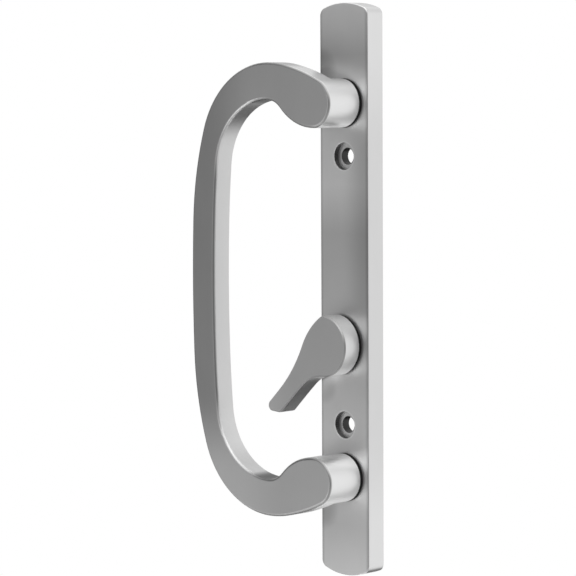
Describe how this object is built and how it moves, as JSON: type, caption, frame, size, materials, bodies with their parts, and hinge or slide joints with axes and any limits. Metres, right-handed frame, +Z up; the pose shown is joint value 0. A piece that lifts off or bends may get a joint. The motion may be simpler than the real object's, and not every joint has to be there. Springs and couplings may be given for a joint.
{
  "type": "sliding patio door handle",
  "caption": "Inside handle for a sliding patio door: a long narrow plate with a D-shaped pull on round posts and a thumb lever that turns the lock.",
  "frame": {"origin": "midway between the two mounting holes, on the plate's door side", "axes": "+Z up along the plate, -Y towards the room, +X to the right for someone facing the handle"},
  "size_m": [0.0764, 0.0252, 0.213],
  "materials": {
    "satin_nickel": "satin",
    "black_plastic": "matte",
    "zinc_steel": "satin",
    "spring_steel": "satin"
  },
  "bodies": {
    "handle": {"escutcheon_plate": "satin_nickel", "pull_handle": "satin_nickel", "pull_spacer_upper": "black_plastic", "pull_spacer_lower": "black_plastic", "pull_screws": "zinc_steel", "pull_lock_washers": "spring_steel", "lever_bushing": "black_plastic", "lever_disc_spring": "spring_steel"},
    "lever": {"thumb_lever": "satin_nickel", "lever_retaining_ring": "spring_steel"}
  },
  "joints": [
    {"name": "lever_turn", "type": "hinge", "parent": "handle", "child": "lever", "pos_m": [-0.0028, 0, -0.0201], "axis": [0, 1, 0], "range_deg": [0, 86]}
  ]
}
